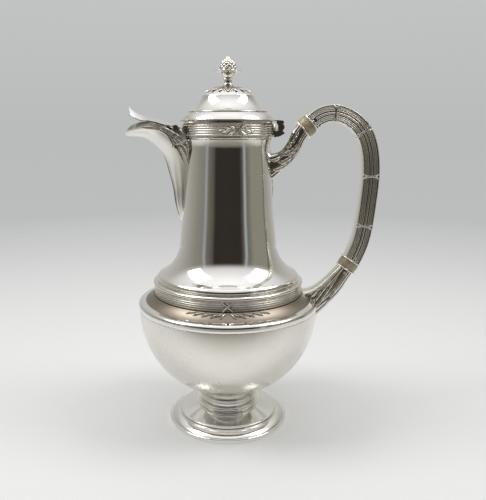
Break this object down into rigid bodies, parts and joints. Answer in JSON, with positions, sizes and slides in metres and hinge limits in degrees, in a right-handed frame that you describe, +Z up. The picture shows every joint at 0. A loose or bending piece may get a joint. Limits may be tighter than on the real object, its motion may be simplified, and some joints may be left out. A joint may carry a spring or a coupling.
{
  "type": "coffee pot",
  "caption": "Silver coffee pot with a hinged domed lid, a covered spout and a curved handle held between two white insulating rings.",
  "frame": {"origin": "centre of the foot's ring in the plane that the pot stands on", "axes": "+Z up along the pot's axis, +X towards the handle, -X towards the spout"},
  "size_m": [0.1826, 0.1336, 0.27],
  "materials": {
    "silver": "polished silver with chased, slightly darkened ornament",
    "insulator": "smooth ivory-coloured ring"
  },
  "bodies": {
    "pot": {"bowl": "silver", "collar": "silver", "collar_ribbon_back": "silver", "collar_ribbon_front": "silver", "flap_knuckle_far": "silver", "flap_knuckle_near": "silver", "flap_pin": "silver", "foot_knop_ring": "silver", "foot_plate": "silver", "foot_rim_wire": "silver", "foot_stem": "silver", "grip_tie_1": "silver", "grip_tie_2": "silver", "grip_tie_3": "silver", "grip_tie_4": "silver", "handle_grip": "silver", "handle_rivets": "silver", "lid_hinge_bracket": "silver", "lid_hinge_knuckle_far": "silver", "lid_hinge_knuckle_near": "silver", "lid_hinge_pin": "silver", "lower_grip_flange": "silver", "lower_insulator": "insulator", "lower_socket": "silver", "lower_socket_flange": "silver", "lower_socket_leaf": "silver", "neck": "silver", "shoulder": "silver", "spout": "silver", "spout_bridge": "silver", "spout_keel_rib": "silver", "spout_leaf_far": "silver", "spout_leaf_near": "silver", "spout_scroll_far": "silver", "spout_scroll_near": "silver", "stem_ring": "silver", "upper_grip_flange": "silver", "upper_insulator": "insulator", "upper_socket": "silver", "upper_socket_flange": "silver", "upper_socket_leaf": "silver", "waist_band": "silver", "waist_plinth": "silver", "waist_ribbon_back": "silver", "waist_ribbon_front": "silver"},
    "lid": {"lid_dome": "silver", "lid_bezel": "silver", "lid_rosette": "silver", "finial_stem": "silver", "finial_dish": "silver", "finial_bud": "silver", "finial_nut": "silver", "lid_hinge_knuckle_middle": "silver"},
    "spout_cover": {"flap_leaf": "silver", "flap_knuckle_middle": "silver"}
  },
  "joints": [
    {"name": "lid_hinge", "type": "hinge", "parent": "pot", "child": "lid", "pos_m": [0.0373, 0, 0.2217], "axis": [0, 1, 0], "range_deg": [0, 98]},
    {"name": "spout_cover_hinge", "type": "hinge", "parent": "pot", "child": "spout_cover", "pos_m": [-0.0366, 0, 0.2212], "axis": [0, 1, 0], "range_deg": [0, 55]}
  ]
}
